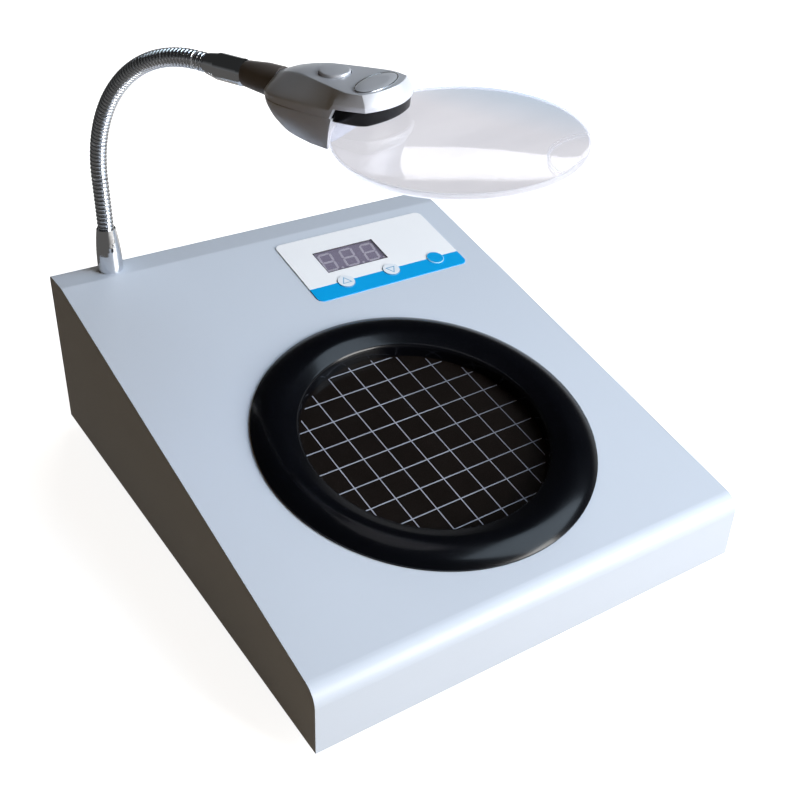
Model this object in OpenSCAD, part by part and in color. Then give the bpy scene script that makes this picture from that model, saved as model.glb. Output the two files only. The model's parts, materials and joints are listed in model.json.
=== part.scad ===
// Bench colony counter: a wedge-shaped sheet housing with a black dish ring and a ruled
// plate in its slope, a key panel with a three-digit display, and a lighted magnifier
// on a gooseneck. Millimetres, +Z up, standing on its feet at z = 0.

/* [Housing] */
// Width of the housing, side to side
body_w = 217; // [200:1:240]
// Depth of the housing, front to rear
body_d = 261; // [256:1:290]
// Height of the rear strip above the housing's lower edge
rear_h = 82.5; // [76:0.5:95]
// Height where the slope and the front face would meet
front_h = 30.5; // [28:0.5:36]
// Depth of the level strip behind the slope
strip_d = 17; // [15:0.5:20]
// Thickness of the folded sheet
sheet = 1.2; // [0.8:0.1:1.6]
// Outer bend radius between the front and the slope
bend_front = 8.5; // [5:0.5:11]
// Outer bend radius between the slope and the strip
bend_strip = 8; // [4:0.5:10]
// Outer bend radius at the rear top edge
bend_rear = 2.5; // [2:0.5:5]
// Width of the flanges turned in under the sides
flange_w = 12; // [10:1:16]

/* [Base] */
// Thickness of the base plate
base_t = 1.5; // [1:0.1:2.5]
// Height of the feet below the housing
foot_h = 4; // [3:0.5:8]
// Radius of a foot
foot_r = 9; // [7:0.5:12]
// Distance of a foot's centre from the housing's sides
foot_inset = 24; // [22:1:34]

/* [Dish ring] */
// Outer radius of the ring
ring_r = 78.6; // [77:0.2:80]
// Sideways place of the ring's centre
ring_x = 2; // [-3:0.5:5]
// Share of the bare slope that lies in front of the ring
ring_share = 0.388; // [0.34:0.002:0.42]
// Radius of the dish well
well_r = 57; // [54:0.5:58]
// Radius of the ring's crown
crown_r = 67.5; // [66:0.5:70]
// Height of the crown above the slope
crown_h = 4.6; // [3.6:0.1:6]
// Rounding at the lip of the well
lip_round = 2.4; // [1.6:0.1:2.8]
// Depth of the well's wall below the slope
well_depth = 5.5; // [4:0.1:7]
// Thickness of the ruled plate
plate_t = 3; // [2:0.5:4]
// Side of one ruled square
cell = 12.8; // [8:0.1:15]
// Width of a ruled line
line_w = 0.5; // [0.3:0.05:1]
// Depth of the light chamber under the slope
chamber_depth = 27; // [26:0.5:28]

/* [Key panel] */
// Width of the panel film
panel_w = 91; // [88:1:96]
// Length of the panel film up the slope
panel_l = 49.5; // [47:0.5:52]
// Sideways place of the panel's centre
panel_x = 48; // [44:0.5:54]
// Share of the bare slope that lies between the panel and the strip
panel_share = 0.164; // [0.12:0.002:0.2]
// Thickness of the panel film
film_t = 0.5; // [0.3:0.05:0.8]
// Radius of a key
key_r = 4.6; // [4:0.1:5.2]
// Travel of a key
key_travel = 0.35; // [0.2:0.05:0.5]
// Width of the display module
module_w = 37.6; // [37:0.1:40]
// Height of the display module
module_l = 19; // [18:0.1:20]
// Depth of the display module
module_t = 8; // [6:0.5:9]

/* [Rear] */
// Thickness of the mains inlet's flange
inlet_flange = 3; // [2.8:0.1:4]
// Sideways place of the mains inlet
inlet_x = 62; // [50:1:70]
// Sideways place of the power switch
switch_x = 20; // [10:1:26]
// Swing of the rocker from off to on
rocker_swing = 16; // [12:1:18]

/* [Neck] */
// Distance of the neck from the left side
neck_inset = 28.2; // [20:0.2:40]
// Heading of the neck, turned from straight ahead
neck_turn = 22; // [10:1:30]
// Outer radius of the ribs
neck_r = 4; // [3.6:0.1:4.4]
// Pitch of the ribs
rib_pitch = 2; // [2:0.05:2.4]
// Straight ribs above the ferrule
ribs_low = 13; // [9:1:18]
// Ribs in one hinged length of the neck
ribs_link = 9; // [8:1:10]
// Height of the chrome ferrule at the foot of the neck
ferrule_h = 22; // [16:1:30]
// Radius of the ferrule at its foot
ferrule_r = 6.15; // [5.6:0.05:7]

/* [Head and lens] */
// Roll of the head about the sleeve
head_roll = 4.5; // [-8:0.5:8]
// Length of the chrome sleeve
sleeve_l = 20; // [15:0.5:26]
// Length of the moulded head
head_l = 63; // [60:0.5:66]
// Width of the moulded head
head_w = 38; // [36:0.5:42]
// Radius of the lens
lens_r = 47.1; // [44:0.1:60]
// Thickness of the lens at its rim
lens_edge = 2.2; // [2:0.1:3]
// Bulge of the lens's lower face
lens_bulge = 3; // [1:0.5:6]
// Radius of the stronger window in the lens
spot_r = 21.5; // [16:0.5:24]
// Radius of the light button
button_r = 6.2; // [5:0.1:7]
// Travel of the light button
button_travel = 0.8; // [0.5:0.1:1]

/* [Hidden] */

eps = 0.01;
fine = 96;      // facets drawn on round parts
coarse = 32;    // facets drawn on small and blended parts
fit = 0.3;      // clearance of a part in its cut-out
slip = 0.15;    // clearance of a moving button in its hole

// Places worked out from the housing
slope = atan2(rear_h - front_h, body_d - strip_d);
slope_l = (body_d - strip_d) / cos(slope);
y_front = -(body_d + inlet_flange) / 2;
y_rear = y_front + body_d;
z_strip = foot_h + rear_h;
z_inside = foot_h + base_t;

// Dish ring: the ruled plate snaps into a rebate below the well's wall
slope_bare = slope_l - 2 * ring_r - panel_l;
ring_s = ring_share * slope_bare + ring_r;
plate_gap = 0.1;
plate_top = well_depth + plate_gap;
plate_low = plate_top + plate_t;
rebate_r = well_r + 2;
snap_r = rebate_r - 0.7;
spigot_r = well_r + 4.5;
spigot_depth = plate_low + 3.5;
clamp_t = 2.5;
clamp_r = spigot_r + 15.5;
clamp_low = sheet + clamp_t;
chamber_r = clamp_r - 7;
chamber_wall = 1.2;
ring_screw_pcr = spigot_r + 12.3;
ring_screw_r = 1.25;
cup_post_h = 9;
lamp_count = 24;
lamp_r = 2.5;
lamp_pcr = spigot_r + lamp_r + 2;

// Ruled plate: lines between a first and a last one, turned a little in the well
print_r = well_r - 1;
grid_turn = 1.6;
line_t = 0.1;
grid_off = [0.558 * cell, 0.164 * cell];

// Key panel
panel_s = slope_l - panel_share * slope_bare - panel_l;
film_round = 3.5;
key_s = panel_s + 9.5;
key_x = [panel_x - 24.7, panel_x + 2.7, panel_x + 30.6];
window_w = module_w - 1.1;
window_l = module_l - 1.6;
window_x = panel_x - 11.5;
window_s = panel_s + 28;
module_top = 0.3;
board_low = module_top + module_t;
board_t = 1.6;
board_w = 88;
board_l = 44;
board_s = panel_s + 25;
standoff_r = 2.75;
standoff_x = board_w / 2 - 4;
standoff_s = board_l / 2 - 4;
m3_r = 1.5;
key_flange = 0.8;

// Rear fittings
inlet_w = 27;
inlet_h = 19.4;
inlet_deep = 22;
socket_w = 24.4;
socket_h = 16.6;
socket_deep = 15.5;
inlet_z = foot_h + 34;
inlet_screw_x = 20;
switch_w = 13.8;
switch_h = 19.4;
switch_bezel = 1.2;
rocker_w = 10.8;
rocker_r = 8.6;
rocker_pin_r = 1.2;
rocker_back = 2.4;

// Neck
neck_x = -body_w / 2 + neck_inset;
neck_y = y_rear - strip_d / 2;
core_r = neck_r * 0.85;
rib_r = 0.73;
links = 6;
link_angle = 90 / links;
bend_r = ribs_link * rib_pitch / (link_angle * PI / 180);
z_bend = z_strip + ferrule_h + ribs_low * rib_pitch;
hinge_gap = 0.8;
end_ribs = 3;
stud_r = 3.9;
washer_r = 5.9;
stud_l = 10;
nut_t = 5;
washer_t = 1;

// Head, along +X from the last hinge of the neck
sleeve_x = 1 + end_ribs * rib_pitch;
sleeve_r = neck_r + 1.5;
stem_x = sleeve_x + sleeve_l;
head_x = stem_x + 11;
nose_x = head_x + head_l;
wall = 2;
part_z = -2;
lip_z = 0.4;
jaw_x = nose_x - 18;
lens_top = -2.3;
lens_x = jaw_x - 2.5 + lens_r;
lens_ball = (pow(lens_r, 2) + pow(lens_bulge, 2)) / (2 * lens_bulge);
spot_at = lens_r + 8;
spot_turn = 13.5;
spot_rise = 1.2;
spot_sag = 0.8;
spot_ball = (pow(spot_r, 2) + pow(spot_sag, 2)) / (2 * spot_sag);
button_x = nose_x - 29;
button_top = 11;
badge_x = nose_x - 11.5;
plateau = 9.5;
tongue_x = jaw_x - 13;
tongue_w = 20;
tongue_t = 2.2;
lens_gap = 0.5;
button_low = 6.1;
button_flange = 1;
head_board_z = 2.8;
head_board_t = 1.2;
screw_x = head_x + 13;
screw_y = 9;

// ---------------------------------------------------------------- placing

module on_slope(x = 0, s = 0, h = 0) {
    translate([0, y_front, foot_h + front_h]) rotate([slope, 0, 0])
        translate([x, s, h]) children();
}

module at_ring(h = 0) {
    on_slope(ring_x, ring_s, h) children();
}

module on_rear(x, z) {
    translate([x, y_rear, z]) rotate([-90, 0, 0]) children();
}

module neck_plane() {
    translate([neck_x, neck_y, 0]) rotate([0, 0, neck_turn - 90]) children();
}

module bend_plane() {
    neck_plane() translate([bend_r, 0, z_bend]) rotate([90, 0, 0]) children();
}

module head_frame() {
    neck_plane() translate([bend_r, 0, z_bend + bend_r])
        rotate([head_roll, 0, 0]) children();
}

module along_x(x = 0) {
    translate([x, 0, 0]) rotate([0, 90, 0]) children();
}

// ---------------------------------------------------------------- shapes

function unit(v) = v / norm(v);
function tangent(p, q, n, r) =
    r / tan(acos(unit(q - p) * unit(n - p)) / 2);
function round_centre(p, q, n, r) =
    p + unit(unit(q - p) + unit(n - p)) * r / sin(acos(unit(q - p) * unit(n - p)) / 2);
function cut_points(p, q, n, r) =
    [p + unit(q - p) * tangent(p, q, n, r), p + unit(n - p) * tangent(p, q, n, r)];

module tube(r_out, r_in, h) {
    difference() {
        cylinder(r = r_out, h = h, $fn = fine);
        translate([0, 0, -1]) cylinder(r = r_in, h = h + 2, $fn = fine);
    }
}

module plate_round(w, l, t, r) {
    linear_extrude(t) union() {
        square([w - 2 * r, l], center = true);
        square([w, l - 2 * r], center = true);
        for (x = [-1, 1], y = [-1, 1])
            translate([x * (w / 2 - r), y * (l / 2 - r)]) circle(r = r, $fn = coarse);
    }
}

module pan_screw(r, l, head) {
    translate([0, 0, -head]) cylinder(r = 2 * r, h = head, $fn = coarse);
    cylinder(r = r, h = l, $fn = coarse);
}

// Side view of the housing, t inside its outer face
module side_profile(t, low) {
    rise = foot_h + front_h - t / cos(slope);
    top = z_strip - t;
    front = [y_front + t, rise + t * tan(slope)];
    crease = [y_front + (top - rise) / tan(slope), top];
    back = [y_rear - t, top];
    foot_f = [y_front + t, low];
    foot_b = [y_rear - t, low];
    f = cut_points(front, foot_f, crease, bend_front - t);
    c = cut_points(crease, front, back, bend_strip - t);
    b = cut_points(back, crease, foot_b, bend_rear - t);
    union() {
        polygon([foot_f, f[0], f[1], c[0], c[1], b[0], b[1], foot_b]);
        translate(round_centre(front, foot_f, crease, bend_front - t))
            circle(r = bend_front - t, $fn = fine);
        translate(round_centre(crease, front, back, bend_strip - t))
            circle(r = bend_strip - t, $fn = fine);
        translate(round_centre(back, crease, foot_b, bend_rear - t))
            circle(r = bend_rear - t, $fn = fine);
    }
}

module side_solid(t, low, w) {
    rotate([90, 0, 90]) translate([0, 0, -w / 2]) linear_extrude(w) side_profile(t, low);
}

// ---------------------------------------------------------------- housing

base_screw_y = [y_front + 22, (y_front + y_rear) / 2, y_rear - 22];
base_screw_x = body_w / 2 - sheet - flange_w / 2;

module housing_shell() color([0.80, 0.83, 0.88]) {
    difference() {
        union() {
            difference() {
                side_solid(0, foot_h, body_w);
                side_solid(sheet, foot_h - 1, body_w - 2 * sheet);
            }
            for (side = [-1, 1])
                translate([side * base_screw_x, 0, z_inside]) translate([0, (y_front + y_rear) / 2, sheet / 2])
                    cube([flange_w + sheet, body_d - 2 * bend_front, sheet], center = true);
        }
        at_ring(-sheet - 1) cylinder(r = spigot_r + 1, h = sheet + 2, $fn = fine);
        for (i = [0:3]) at_ring(-sheet - 1) rotate([0, 0, 45 + 90 * i])
            translate([ring_screw_pcr, 0, 0]) cylinder(r = ring_screw_r + fit, h = sheet + 2, $fn = coarse);
        on_slope(window_x, window_s, -sheet / 2)
            cube([module_w + 2 * fit, module_l + 2 * fit, sheet + 2], center = true);
        for (x = key_x) on_slope(x, key_s, -sheet - 1) cylinder(r = key_r + slip, h = sheet + 2, $fn = coarse);
        translate([neck_x, neck_y, z_strip - sheet - 1]) cylinder(r = stud_r + fit, h = sheet + 2, $fn = coarse);
        on_rear(inlet_x, inlet_z) cube([inlet_w + 2 * fit, inlet_h + 2 * fit, 3 * sheet], center = true);
        for (x = [-1, 1]) on_rear(inlet_x + x * inlet_screw_x, inlet_z)
            translate([0, 0, -2 * sheet]) cylinder(r = m3_r + fit, h = 3 * sheet, $fn = coarse);
        on_rear(switch_x, inlet_z) cube([switch_w + 2 * fit, switch_h + 2 * fit, 3 * sheet], center = true);
        for (x = [-1, 1], y = base_screw_y)
            translate([x * base_screw_x, y, z_inside - 1]) cylinder(r = m3_r, h = sheet + 2, $fn = coarse);
    }
}

foot_at = [for (x = [-1, 1], y = [y_front + foot_inset, y_rear - foot_inset])
    [x * (body_w / 2 - foot_inset), y]];
power_w = 76;
power_l = 52;
power_c = [body_w / 2 - 48.5, y_rear - 46];
power_at = [for (x = [-1, 1], y = [-1, 1]) power_c + [x * (power_w / 2 - 8), y * (power_l / 2 - 5)]];

vents = 8;
vent_pitch = 9;
vent_l = 30;
vent_r = 1.5;

module base_plate() color([0.55, 0.57, 0.60]) {
    difference() {
        translate([0, (y_front + y_rear) / 2, foot_h + base_t / 2])
            cube([body_w - 2 * sheet - 2 * fit, body_d - 2 * sheet - 2 * fit, base_t], center = true);
        for (x = [-1, 1], y = base_screw_y)
            translate([x * base_screw_x, y, foot_h - 1]) cylinder(r = m3_r + fit, h = base_t + 2, $fn = coarse);
        for (p = foot_at) translate([p[0], p[1], foot_h - 1]) cylinder(r = m3_r, h = base_t + 2, $fn = coarse);
        for (p = power_at) translate([p[0], p[1], foot_h - 1]) cylinder(r = m3_r, h = base_t + 2, $fn = coarse);
        for (i = [0:vents - 1]) translate([-body_w / 2 + 30 + vent_pitch * i, power_c[1], foot_h - 1])
            linear_extrude(base_t + 2) union() {
                square([2 * vent_r, vent_l], center = true);
                for (y = [-1, 1]) translate([0, y * vent_l / 2]) circle(r = vent_r, $fn = coarse);
            }
    }
}

module feet() color([0.12, 0.12, 0.13]) {
    for (p = foot_at) translate([p[0], p[1], 0]) rotate_extrude($fn = fine)
        polygon([[m3_r + fit, foot_h], [m3_r + fit, foot_h / 2], [2 * m3_r + 0.6, foot_h / 2],
            [2 * m3_r + 0.6, 0], [foot_r - 1.2, 0], [foot_r - 0.6, 0.6], [foot_r, foot_h]]);
}

module base_screws() color([0.70, 0.71, 0.74]) {
    for (x = [-1, 1], y = base_screw_y) translate([x * base_screw_x, y, foot_h])
        pan_screw(m3_r - 0.05, base_t + sheet + 3, 1.8);
    for (p = foot_at) translate([p[0], p[1], foot_h / 2]) pan_screw(m3_r - 0.05, foot_h / 2 + base_t + 3, 1.6);
}

// ---------------------------------------------------------------- dish ring and light

funnel = 23;            // fall of the funnel towards the well, degrees
inner_crown = 8 / 7 * (crown_r - well_r);   // radius of the crown's inner side
lip_depth = 0.4;        // centre of the lip's rounding, below the slope
rim_edge = 1;           // upright edge at the ring's outside

function arc(c, r, from, to, n) =
    [for (i = [0:n]) c + r * [cos(from + (to - from) * i / n), sin(from + (to - from) * i / n)]];

module ring_section() {
    wide = ring_r - crown_r;
    drop = crown_h - rim_edge;
    outer_crown = (pow(wide, 2) + pow(drop, 2)) / (2 * drop);
    lip = [well_r + lip_round, -lip_depth];
    polygon(concat([[well_r, -well_depth]],
        arc(lip, lip_round, 180, 90 + funnel, 6),
        arc([crown_r, crown_h - inner_crown], inner_crown, 90 + funnel, 90, 6),
        arc([crown_r, crown_h - outer_crown], outer_crown, 90, 90 - asin(wide / outer_crown), 10),
        [[ring_r, 0], [spigot_r, 0], [spigot_r, -spigot_depth],
            [snap_r, -spigot_depth], [snap_r, -plate_low], [rebate_r, -plate_low], [rebate_r, -well_depth]]));
}

module ring_holes(r, low, high) {
    for (i = [0:3]) rotate([0, 0, 45 + 90 * i])
        translate([ring_screw_pcr, 0, low]) cylinder(r = r, h = high - low, $fn = coarse);
}

module dish_ring() color([0.03, 0.03, 0.035]) {
    at_ring() difference() {
        rotate_extrude($fn = fine) ring_section();
        ring_holes(ring_screw_r, -1, 2.4);
    }
}

module grid_plate() color([0.12, 0.10, 0.09]) {
    at_ring(-plate_low) cylinder(r = rebate_r - 0.2, h = plate_t, $fn = fine);
}

module grid_lines() color([0.88, 0.89, 0.90]) {
    span = ceil(2 * print_r / cell);
    at_ring(-plate_top) rotate([0, 0, grid_turn]) intersection() {
        cylinder(r = print_r, h = line_t, $fn = fine);
        union() for (i = [-span:span]) {
            translate([grid_off[0] + i * cell, 0, 0])
                translate([-line_w / 2, -print_r, 0]) cube([line_w, 2 * print_r, line_t]);
            translate([0, grid_off[1] + i * cell, 0])
                translate([-print_r, -line_w / 2, 0]) cube([2 * print_r, line_w, line_t]);
        }
    }
}

module ring_clamp() color([0.62, 0.64, 0.67]) {
    at_ring(-clamp_low) difference() {
        tube(clamp_r, spigot_r + 0.4, clamp_t);
        ring_holes(ring_screw_r + fit, -1, clamp_t + 1);
    }
}

cup_flange = 1.5;
cup_floor = -chamber_depth + chamber_wall;
board_ring_z = cup_floor + cup_post_h;

module light_chamber() color([0.90, 0.90, 0.88]) {
    at_ring() difference() {
        union() {
            rotate_extrude($fn = fine) polygon([[0, -chamber_depth], [chamber_r + chamber_wall, -chamber_depth],
                [chamber_r + chamber_wall, -clamp_low - cup_flange], [clamp_r, -clamp_low - cup_flange],
                [clamp_r, -clamp_low], [chamber_r, -clamp_low], [chamber_r, cup_floor], [0, cup_floor]]);
            for (i = [0:5]) rotate([0, 0, 60 * i])
                translate([chamber_r - 3, 0, cup_floor - eps]) cylinder(r = 2.5, h = cup_post_h + eps, $fn = coarse);
        }
        ring_holes(ring_screw_r + fit, -clamp_low - cup_flange - 1, 0);
    }
}

module light_board() color([0.10, 0.35, 0.18]) {
    at_ring(board_ring_z) tube(chamber_r - 0.4, spigot_r - 2, board_t);
}

module ring_lamps() color([0.95, 0.95, 0.90]) {
    at_ring(board_ring_z + board_t) for (i = [0:lamp_count - 1]) rotate([0, 0, 360 / lamp_count * i])
        translate([lamp_pcr, 0, 0]) cylinder(r = lamp_r, h = 2.4, $fn = coarse);
}

module backing_disc() color([0.05, 0.045, 0.04]) {
    at_ring(cup_floor) cylinder(r = spigot_r, h = 2, $fn = fine);
}

module ring_screws() color([0.70, 0.71, 0.74]) {
    for (i = [0:3]) at_ring(-clamp_low - cup_flange) rotate([0, 0, 45 + 90 * i])
        translate([ring_screw_pcr, 0, 0]) pan_screw(ring_screw_r - 0.05, clamp_low + cup_flange + 2.2, 1.6);
}

// ---------------------------------------------------------------- key panel

module panel_film() color([0.88, 0.90, 0.96]) {
    difference() {
        on_slope(panel_x, panel_s + panel_l / 2) plate_round(panel_w, panel_l, film_t, film_round);
        on_slope(window_x, window_s) cube([window_w, window_l, 3 * film_t], center = true);
        for (x = key_x) on_slope(x, key_s, -1) cylinder(r = key_r + slip, h = film_t + 2, $fn = coarse);
    }
}

module display_window() color([0.55, 0.55, 0.62, 0.6]) {
    on_slope(window_x, window_s, film_t / 2) cube([window_w - 0.1, window_l - 0.1, film_t], center = true);
}

module display_module() color([0.45, 0.44, 0.50]) {
    on_slope(window_x, window_s, -module_top - module_t / 2) cube([module_w, module_l, module_t], center = true);
}

// One slanted seven-segment digit: bars with pointed ends
digit_h = 13.2;
digit_w = 6.9;
bar = 1.3;
slant = 8;

module bar_piece(l) {
    half = l / 2 - 0.15;
    polygon([[-half, 0], [-half + bar / 2, bar / 2], [half - bar / 2, bar / 2],
        [half, 0], [half - bar / 2, -bar / 2], [-half + bar / 2, -bar / 2]]);
}

module digit() {
    u = digit_h / 2;
    multmatrix([[1, tan(slant), 0, 0], [0, 1, 0, 0], [0, 0, 1, 0]]) {
        for (y = [-1, 0, 1]) translate([0, y * u]) bar_piece(digit_w);
        for (x = [-1, 1], y = [-1, 1]) translate([x * digit_w / 2, y * u / 2]) rotate(90) bar_piece(u);
    }
    translate([digit_w / 2 + 1.6, -u]) circle(r = 0.75, $fn = coarse);
}

module display_segments() color([0.74, 0.74, 0.80]) {
    on_slope(window_x, window_s, -module_top) for (i = [-1:1])
        translate([i * 12.7 - 0.6, 0, 0]) linear_extrude(0.1) digit();
}

module key(x) {
    on_slope(x, key_s) union() {
        translate([0, 0, -sheet - key_flange - 0.1]) cylinder(r = key_r + 0.8, h = key_flange, $fn = coarse);
        translate([0, 0, -sheet - 0.1 - eps]) cylinder(r = key_r, h = sheet + film_t + 0.5, $fn = coarse);
    }
}

module key_up() color([0.93, 0.95, 0.98]) key(key_x[0]);
module key_down() color([0.93, 0.95, 0.98]) key(key_x[1]);
module key_reset() color([0.05, 0.45, 0.85]) key(key_x[2]);

module control_board() color([0.10, 0.35, 0.18]) {
    difference() {
        on_slope(panel_x, board_s, -board_low - board_t / 2) cube([board_w, board_l, board_t], center = true);
        for (x = [-1, 1], s = [-1, 1]) on_slope(panel_x + x * standoff_x, board_s + s * standoff_s, -board_low - board_t - 1)
            cylinder(r = m3_r + fit, h = board_t + 2, $fn = coarse);
    }
}

module key_switches() color([0.20, 0.20, 0.22]) {
    tall = board_low - sheet - key_flange - 0.1 - key_travel - 0.1;
    for (x = key_x) on_slope(x, key_s, -board_low) union() {
        translate([-3, -3, 0]) cube([6, 6, 3.5]);
        cylinder(r = 1.75, h = tall, $fn = coarse);
    }
}

module board_standoffs() color([0.75, 0.72, 0.60]) {
    for (x = [-1, 1], s = [-1, 1])
        on_slope(panel_x + x * standoff_x, board_s + s * standoff_s, -board_low) difference() {
            cylinder(r = standoff_r, h = board_low - sheet, $fn = 6);
            translate([0, 0, -1]) cylinder(r = m3_r, h = 6, $fn = coarse);
        }
}

module board_screws() color([0.70, 0.71, 0.74]) {
    for (x = [-1, 1], s = [-1, 1])
        on_slope(panel_x + x * standoff_x, board_s + s * standoff_s, -board_low - board_t)
            pan_screw(m3_r - 0.05, board_t + 4, 1.8);
}

// ---------------------------------------------------------------- rear fittings

module mains_inlet() color([0.08, 0.08, 0.09]) {
    on_rear(inlet_x, inlet_z) difference() {
        union() {
            plate_round(50, 23, inlet_flange, 3);
            translate([0, 0, (eps - inlet_deep) / 2]) cube([inlet_w, inlet_h, inlet_deep + eps], center = true);
        }
        translate([0, 0, inlet_flange - socket_deep]) linear_extrude(socket_deep + 1)
            polygon([[-socket_w / 2, -socket_h / 2 + 4], [-socket_w / 2 + 4, -socket_h / 2],
                [socket_w / 2 - 4, -socket_h / 2], [socket_w / 2, -socket_h / 2 + 4],
                [socket_w / 2, socket_h / 2], [-socket_w / 2, socket_h / 2]]);
        for (x = [-1, 1]) translate([x * inlet_screw_x, 0, -1]) cylinder(r = m3_r + 0.1, h = inlet_flange + 2, $fn = coarse);
        for (x = [-1, 1]) translate([x * inlet_screw_x, 0, inlet_flange - 1.7]) cylinder(r = 2 * m3_r + 0.2, h = 3, $fn = coarse);
    }
}

module inlet_pins() color([0.80, 0.78, 0.70]) {
    on_rear(inlet_x, inlet_z) for (p = [[-7, 2], [7, 2], [0, -2]])
        translate([p[0], p[1], inlet_flange - socket_deep + 5]) cube([2, 4, 10], center = true);
}

module inlet_screws() color([0.70, 0.71, 0.74]) {
    on_rear(inlet_x, inlet_z) for (x = [-1, 1]) translate([x * inlet_screw_x, 0, 0]) {
        translate([0, 0, inlet_flange - 1.7]) cylinder(r = 2 * m3_r, h = 1.6, $fn = coarse);
        translate([0, 0, -6]) cylinder(r = m3_r, h = inlet_flange + 5, $fn = coarse);
        translate([0, 0, -sheet - 2.4]) cylinder(r = 3.1, h = 2.4, $fn = 6);
    }
}

module switch_frame() color([0.07, 0.07, 0.08]) {
    on_rear(switch_x, inlet_z) difference() {
        union() {
            plate_round(switch_w + 3, switch_h + 3, switch_bezel, 1.5);
            translate([0, 0, (eps - 14) / 2]) cube([switch_w, switch_h, 14 + eps], center = true);
        }
        translate([0, 0, 0]) cube([rocker_w + 0.5, 2 * rocker_r + 0.5, 25], center = true);
        translate([0, 0, -rocker_back]) along_x(-switch_w) cylinder(r = rocker_pin_r + 0.05, h = 2 * switch_w, $fn = coarse);
    }
}

module switch_rocker() color([0.04, 0.04, 0.045]) {
    face = 3.2;
    rise = rocker_r * tan(rocker_swing / 2);
    on_rear(switch_x, inlet_z) translate([0, 0, -rocker_back]) rotate([rocker_swing / 2, 0, 0]) {
        rotate([0, 90, 0]) translate([0, 0, -rocker_w / 2]) linear_extrude(rocker_w) intersection() {
            circle(r = rocker_r - 0.3, $fn = fine);
            polygon([[-face, 0], [-face - rise, rocker_r], [4, rocker_r], [4, -rocker_r], [-face - rise, -rocker_r]]);
        }
        along_x(-rocker_w / 2 - 1) cylinder(r = rocker_pin_r, h = rocker_w + 2, $fn = coarse);
    }
}

// ---------------------------------------------------------------- power supply

power_z = z_inside + 6;
core_h = 22;    // height of the transformer

module power_board() color([0.60, 0.45, 0.20]) {
    translate([power_c[0], power_c[1], power_z + board_t / 2]) cube([power_w, power_l, board_t], center = true);
    for (p = power_at) translate([p[0], p[1], z_inside]) cylinder(r = standoff_r, h = power_z - z_inside, $fn = 6);
}

module power_parts() color([0.85, 0.75, 0.25]) {
    translate([power_c[0], power_c[1], power_z + board_t]) {
        translate([6, 0, core_h / 2]) cube([26, 24, core_h], center = true);
        translate([-20, 11, 0]) cylinder(r = 6.3, h = 0.9 * core_h, $fn = coarse);
        translate([28, -11, 0]) cylinder(r = 5, h = 0.7 * core_h, $fn = coarse);
        translate([-20, -9, 6]) cube([14, 10, 12], center = true);
    }
}

// ---------------------------------------------------------------- gooseneck

module neck_ferrule() color([0.78, 0.79, 0.82]) {
    steps = 10;
    top_r = neck_r + 0.6;
    neck_plane() translate([0, 0, z_strip]) union() {
        rotate_extrude($fn = fine) polygon(concat([[0, 0], [ferrule_r - 0.4, 0]],
            [for (i = [0:steps]) [top_r + (ferrule_r - top_r) * cos(90 * pow(i / steps, 1.4)),
                0.4 + (ferrule_h - 0.4) * i / steps]], [[0, ferrule_h]]));
        translate([0, 0, -stud_l]) cylinder(r = stud_r, h = stud_l + eps, $fn = fine);
    }
}

module neck_nut() color([0.70, 0.71, 0.74]) {
    neck_plane() translate([0, 0, z_strip - sheet]) {
        translate([0, 0, -washer_t]) tube(washer_r, stud_r + 0.1, washer_t);
        translate([0, 0, -washer_t - nut_t]) difference() {
            cylinder(r = washer_r - 0.1, h = nut_t, $fn = 6);
            translate([0, 0, -1]) cylinder(r = stud_r + 0.05, h = nut_t + 2, $fn = fine);
        }
    }
}

module rib() {
    rotate_extrude($fn = coarse) translate([neck_r - rib_r, 0]) circle(r = rib_r, $fn = 24);
}

module neck_0() color([0.76, 0.77, 0.80]) {
    neck_plane() translate([0, 0, z_strip + ferrule_h]) union() {
        cylinder(r = core_r, h = ribs_low * rib_pitch - hinge_gap / 2, $fn = coarse);
        for (i = [0:ribs_low - 1]) translate([0, 0, (i + 0.5) * rib_pitch]) rib();
    }
}

module neck_link(k) {
    trim = hinge_gap / 2 / bend_r * 180 / PI;
    bend_plane() rotate([0, 0, 180 - link_angle * k]) union() {
        rotate([0, 0, trim]) rotate_extrude(angle = link_angle - 2 * trim, $fn = 180)
            translate([bend_r, 0]) circle(r = core_r, $fn = coarse);
        for (i = [0:ribs_link - 1]) rotate([0, 0, (i + 0.5) * link_angle / ribs_link])
            translate([bend_r, 0, 0]) rotate([90, 0, 0]) rib();
    }
}

module neck_1() color([0.76, 0.77, 0.80]) neck_link(1);
module neck_2() color([0.76, 0.77, 0.80]) neck_link(2);
module neck_3() color([0.76, 0.77, 0.80]) neck_link(3);
module neck_4() color([0.76, 0.77, 0.80]) neck_link(4);
module neck_5() color([0.76, 0.77, 0.80]) neck_link(5);
module neck_6() color([0.76, 0.77, 0.80]) neck_link(6);

module neck_7() color([0.76, 0.77, 0.80]) {
    head_frame() union() {
        along_x(hinge_gap / 2) cylinder(r = core_r, h = sleeve_x - hinge_gap / 2, $fn = coarse);
        for (i = [0:end_ribs - 1]) along_x(sleeve_x - (i + 0.5) * rib_pitch) rib();
    }
}

// ---------------------------------------------------------------- head and lens

module neck_sleeve() color([0.80, 0.81, 0.84]) {
    bore = sleeve_r - 1.2;
    head_frame() along_x(sleeve_x) rotate_extrude($fn = fine)
        polygon([[0, 0], [neck_r + 0.4, 0], [sleeve_r - 0.3, 4.5], [sleeve_r, 6], [sleeve_r, sleeve_l - 1.5],
            [sleeve_r - 0.6, sleeve_l], [bore, sleeve_l], [bore, 5], [0, 5]]);
}

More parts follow.
